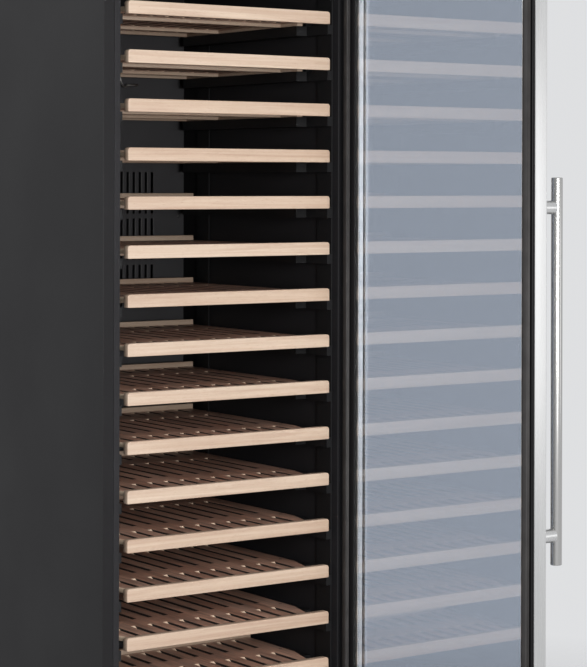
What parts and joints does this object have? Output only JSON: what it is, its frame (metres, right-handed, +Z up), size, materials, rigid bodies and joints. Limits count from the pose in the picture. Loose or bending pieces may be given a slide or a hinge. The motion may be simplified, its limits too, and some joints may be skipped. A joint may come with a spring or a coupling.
{
  "type": "wine cooler",
  "caption": "Tall free-standing wine cooler with sliding slatted wooden shelves in a black insulated cabinet and a right-hinged glass door with a steel frame and bar handle.",
  "frame": {"origin": "middle of the bounding box on the floor, with the door standing open at 90 degrees as it is at rest", "axes": "+Z up, -Y out of the cabinet front, +X towards the hinge side"},
  "size_m": [0.661, 1.24, 1.76],
  "materials": {
    "black_steel": "fine-textured black powder coat",
    "liner_black": "black moulded inner lining, satin",
    "foam": "rigid polyurethane foam, hidden between shell and liner",
    "galvanised": "zinc-coated sheet",
    "black_plastic": "black moulded plastic",
    "chassis": "black enamel",
    "aluminium": "bare aluminium",
    "copper": "copper tube and fins",
    "display": "dark smoked window",
    "led_diffuser": "opal diffuser",
    "stainless": "brushed stainless steel",
    "glass": "grey tinted low-emissivity double glazing",
    "rubber": "soft grey magnetic seal",
    "beech": "pale beech front, brown-stained slats"
  },
  "bodies": {
    "cabinet": {"outer_shell": "black_steel", "inner_liner": "liner_black", "evaporator_cover": "liner_black", "rail_panel_left": "liner_black", "rail_panel_right": "liner_black", "insulation_foam": "foam", "back_panel": "galvanised", "base_plate": "galvanised", "kick_grille": "black_plastic", "drip_tray": "black_plastic", "power_inlet": "black_plastic", "control_panel": "black_plastic", "circulation_fan_motor": "chassis", "condenser_fan_motor": "chassis", "compressor": "chassis", "hinge_bracket_top": "chassis", "hinge_bracket_bottom": "chassis", "temperature_sensor": "chassis", "evaporator_coil": "aluminium", "hinge_pin_top": "aluminium", "hinge_pin_bottom": "aluminium", "condenser_coil": "copper", "display_window": "display", "led_strip": "led_diffuser"},
    "door": {"door_skin": "stainless", "door_inner_frame": "black_plastic", "glass_inner": "glass", "glass_outer": "glass", "glass_spacer": "aluminium", "glazing_tape": "rubber", "door_gasket": "rubber", "handle_bar": "stainless", "handle_standoff_top": "stainless", "handle_standoff_bottom": "stainless"},
    "shelf_01_slide_body": {"shelf_01": "beech"},
    "shelf_02_slide_body": {"shelf_02": "beech"},
    "shelf_03_slide_body": {"shelf_03": "beech"},
    "shelf_04_slide_body": {"shelf_04": "beech"},
    "shelf_05_slide_body": {"shelf_05": "beech"},
    "shelf_06_slide_body": {"shelf_06": "beech"},
    "shelf_07_slide_body": {"shelf_07": "beech"},
    "shelf_08_slide_body": {"shelf_08": "beech"},
    "shelf_09_slide_body": {"shelf_09": "beech"},
    "shelf_10_slide_body": {"shelf_10": "beech"},
    "shelf_11_slide_body": {"shelf_11": "beech"},
    "shelf_12_slide_body": {"shelf_12": "beech"},
    "shelf_13_slide_body": {"shelf_13": "beech"},
    "shelf_14_slide_body": {"shelf_14": "beech"},
    "shelf_15_slide_body": {"shelf_15": "beech"},
    "circulation_fan_body": {"circulation_fan": "black_plastic"},
    "condenser_fan_body": {"condenser_fan": "black_plastic"},
    "foot_front_left_body": {"foot_front_left": "black_plastic"},
    "foot_front_right_body": {"foot_front_right": "black_plastic"},
    "foot_rear_left_body": {"foot_rear_left": "black_plastic"},
    "foot_rear_right_body": {"foot_rear_right": "black_plastic"},
    "button_power_body": {"button_power": "black_plastic"},
    "button_light_body": {"button_light": "black_plastic"},
    "button_colder_body": {"button_colder": "black_plastic"},
    "button_warmer_body": {"button_warmer": "black_plastic"}
  },
  "joints": [
    {"name": "door_hinge", "type": "hinge", "parent": "cabinet", "child": "door", "pos_m": [0.2485, -0.041, 0], "axis": [0, 0, 1], "range_deg": [-90, 25]},
    {"name": "shelf_01_slide", "type": "slide", "parent": "cabinet", "child": "shelf_01_slide_body", "axis": [0, -1, 0], "range_m": [0, 0.3]},
    {"name": "shelf_02_slide", "type": "slide", "parent": "cabinet", "child": "shelf_02_slide_body", "axis": [0, -1, 0], "range_m": [0, 0.3]},
    {"name": "shelf_03_slide", "type": "slide", "parent": "cabinet", "child": "shelf_03_slide_body", "axis": [0, -1, 0], "range_m": [0, 0.3]},
    {"name": "shelf_04_slide", "type": "slide", "parent": "cabinet", "child": "shelf_04_slide_body", "axis": [0, -1, 0], "range_m": [0, 0.3]},
    {"name": "shelf_05_slide", "type": "slide", "parent": "cabinet", "child": "shelf_05_slide_body", "axis": [0, -1, 0], "range_m": [0, 0.3]},
    {"name": "shelf_06_slide", "type": "slide", "parent": "cabinet", "child": "shelf_06_slide_body", "axis": [0, -1, 0], "range_m": [0, 0.3]},
    {"name": "shelf_07_slide", "type": "slide", "parent": "cabinet", "child": "shelf_07_slide_body", "axis": [0, -1, 0], "range_m": [0, 0.3]},
    {"name": "shelf_08_slide", "type": "slide", "parent": "cabinet", "child": "shelf_08_slide_body", "axis": [0, -1, 0], "range_m": [0, 0.3]},
    {"name": "shelf_09_slide", "type": "slide", "parent": "cabinet", "child": "shelf_09_slide_body", "axis": [0, -1, 0], "range_m": [0, 0.3]},
    {"name": "shelf_10_slide", "type": "slide", "parent": "cabinet", "child": "shelf_10_slide_body", "axis": [0, -1, 0], "range_m": [0, 0.3]},
    {"name": "shelf_11_slide", "type": "slide", "parent": "cabinet", "child": "shelf_11_slide_body", "axis": [0, -1, 0], "range_m": [0, 0.3]},
    {"name": "shelf_12_slide", "type": "slide", "parent": "cabinet", "child": "shelf_12_slide_body", "axis": [0, -1, 0], "range_m": [0, 0.3]},
    {"name": "shelf_13_slide", "type": "slide", "parent": "cabinet", "child": "shelf_13_slide_body", "axis": [0, -1, 0], "range_m": [0, 0.3]},
    {"name": "shelf_14_slide", "type": "slide", "parent": "cabinet", "child": "shelf_14_slide_body", "axis": [0, -1, 0], "range_m": [0, 0.3]},
    {"name": "shelf_15_slide", "type": "slide", "parent": "cabinet", "child": "shelf_15_slide_body", "axis": [0, -1, 0], "range_m": [0, 0.16]},
    {"name": "circulation_fan_spin", "type": "hinge", "parent": "cabinet", "child": "circulation_fan_body", "pos_m": [-0.033, 0.5675, 1.15], "axis": [0, 1, 0], "continuous": true},
    {"name": "condenser_fan_spin", "type": "hinge", "parent": "cabinet", "child": "condenser_fan_body", "pos_m": [0.107, 0.532, 0.097], "axis": [0, 1, 0], "continuous": true},
    {"name": "foot_front_left_turn", "type": "hinge", "parent": "cabinet", "child": "foot_front_left_body", "pos_m": [-0.278, 0.03, 0], "axis": [0, 0, 1], "continuous": true},
    {"name": "foot_front_right_turn", "type": "hinge", "parent": "cabinet", "child": "foot_front_right_body", "pos_m": [0.212, 0.03, 0], "axis": [0, 0, 1], "continuous": true},
    {"name": "foot_rear_left_turn", "type": "hinge", "parent": "cabinet", "child": "foot_rear_left_body", "pos_m": [-0.278, 0.57, 0], "axis": [0, 0, 1], "continuous": true},
    {"name": "foot_rear_right_turn", "type": "hinge", "parent": "cabinet", "child": "foot_rear_right_body", "pos_m": [0.212, 0.57, 0], "axis": [0, 0, 1], "continuous": true},
    {"name": "button_power_press", "type": "slide", "parent": "cabinet", "child": "button_power_body", "axis": [0, 1, 0], "range_m": [0, 0.0015], "stiffness_N_per_m": 600},
    {"name": "button_light_press", "type": "slide", "parent": "cabinet", "child": "button_light_body", "axis": [0, 1, 0], "range_m": [0, 0.0015], "stiffness_N_per_m": 600},
    {"name": "button_colder_press", "type": "slide", "parent": "cabinet", "child": "button_colder_body", "axis": [0, 1, 0], "range_m": [0, 0.0015], "stiffness_N_per_m": 600},
    {"name": "button_warmer_press", "type": "slide", "parent": "cabinet", "child": "button_warmer_body", "axis": [0, 1, 0], "range_m": [0, 0.0015], "stiffness_N_per_m": 600}
  ]
}
